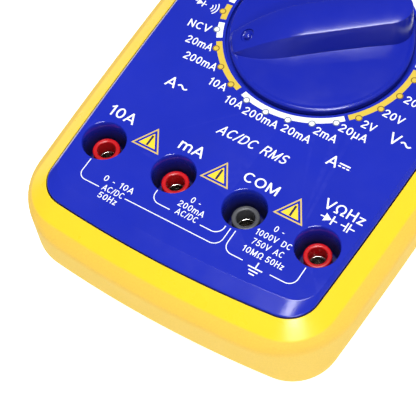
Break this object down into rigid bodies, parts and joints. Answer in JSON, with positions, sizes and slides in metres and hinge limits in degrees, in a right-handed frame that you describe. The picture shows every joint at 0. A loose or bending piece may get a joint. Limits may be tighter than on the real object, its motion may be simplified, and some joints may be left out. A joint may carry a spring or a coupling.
{
  "type": "digital multimeter",
  "caption": "Hand-held digital multimeter with a rotary range selector, test-lead jacks, display, push buttons, protective rubber holster and fold-out rear stand.",
  "frame": {"origin": "centre of the flat back rim of the holster, the plane the meter rests on", "axes": "+Z out of the printed face, +Y from the jacks towards the display, +X to the right of the face"},
  "size_m": [0.0886, 0.186, 0.047],
  "materials": {
    "yellow_rubber": "satin moulded rubber",
    "yellow_plastic": "satin",
    "blue_plastic": "fine moulded texture",
    "red_plastic": "gloss",
    "grey_plastic": "satin",
    "nickel": "plated",
    "steel": "zinc plated",
    "copper_alloy": "bright",
    "clear_lens": "clear polished acrylic",
    "lcd_glass": "grey-green reflective display",
    "white_plastic": "satin",
    "black_plastic": "satin",
    "circuit_board": "solder mask",
    "conductive_rubber": "matte",
    "fuse_glass": "clear",
    "wire_red": "insulated",
    "wire_black": "insulated",
    "battery_can": "printed steel",
    "button_rubber": "matte"
  },
  "bodies": {
    "case": {"backlight_panel": "white_plastic", "battery": "battery_can", "battery_snap": "black_plastic", "battery_wire_black": "wire_black", "battery_wire_red": "wire_red", "board_screw_1": "steel", "board_screw_2": "steel", "board_screw_3": "steel", "button_switch_hold": "black_plastic", "button_switch_light": "black_plastic", "button_switch_select": "black_plastic", "buzzer": "black_plastic", "case_screw_1": "steel", "case_screw_2": "steel", "case_screw_3": "steel", "case_screw_4": "steel", "crystal": "steel", "detent_ring": "white_plastic", "front_cover": "blue_plastic", "fuse_10a": "fuse_glass", "fuse_clip_1": "copper_alloy", "fuse_clip_2": "copper_alloy", "fuse_clip_3": "copper_alloy", "fuse_clip_4": "copper_alloy", "fuse_ma": "fuse_glass", "holster": "yellow_rubber", "jack_contact_10a": "nickel", "jack_contact_com": "nickel", "jack_contact_ma": "nickel", "jack_contact_v": "nickel", "jack_sleeve_10a": "red_plastic", "jack_sleeve_com": "grey_plastic", "jack_sleeve_ma": "red_plastic", "jack_sleeve_v": "red_plastic", "lcd_holder": "white_plastic", "lcd_panel": "lcd_glass", "lcd_window": "clear_lens", "main_board": "circuit_board", "meter_ic": "black_plastic", "ncv_antenna": "copper_alloy", "rear_cover": "blue_plastic", "shunt_bar": "copper_alloy", "zebra_strip_1": "conductive_rubber", "zebra_strip_2": "conductive_rubber"},
    "selector": {"knob": "blue_plastic", "switch_rotor": "white_plastic", "rotor_contact_1": "copper_alloy", "rotor_contact_2": "copper_alloy", "rotor_contact_3": "copper_alloy", "detent_ball_1": "steel", "detent_ball_2": "steel", "detent_spring_1": "steel", "detent_spring_2": "steel"},
    "select_button": {"button_select": "button_rubber"},
    "hold_button": {"button_hold": "button_rubber"},
    "light_button": {"button_light": "button_rubber"},
    "stand": {"tilt_stand": "yellow_plastic"},
    "battery_door": {"battery_cover": "blue_plastic", "battery_cover_screw": "steel"}
  },
  "joints": [
    {"name": "selector_turn", "type": "hinge", "parent": "case", "child": "selector", "pos_m": [0, -0.01555, 0.038], "axis": [0, 0, 1], "continuous": true},
    {"name": "select_press", "type": "slide", "parent": "case", "child": "select_button", "axis": [0, 0, -1], "range_m": [0, 0.0008]},
    {"name": "hold_press", "type": "slide", "parent": "case", "child": "hold_button", "axis": [0, 0, -1], "range_m": [0, 0.0008]},
    {"name": "light_press", "type": "slide", "parent": "case", "child": "light_button", "axis": [0, 0, -1], "range_m": [0, 0.0008]},
    {"name": "stand_fold", "type": "hinge", "parent": "case", "child": "stand", "pos_m": [0, 0.028, 0.0042], "axis": [1, 0, 0], "range_deg": [0, 60]},
    {"name": "battery_cover_lift", "type": "slide", "parent": "case", "child": "battery_door", "axis": [0, 0, -1], "range_m": [0, 0.012]}
  ]
}
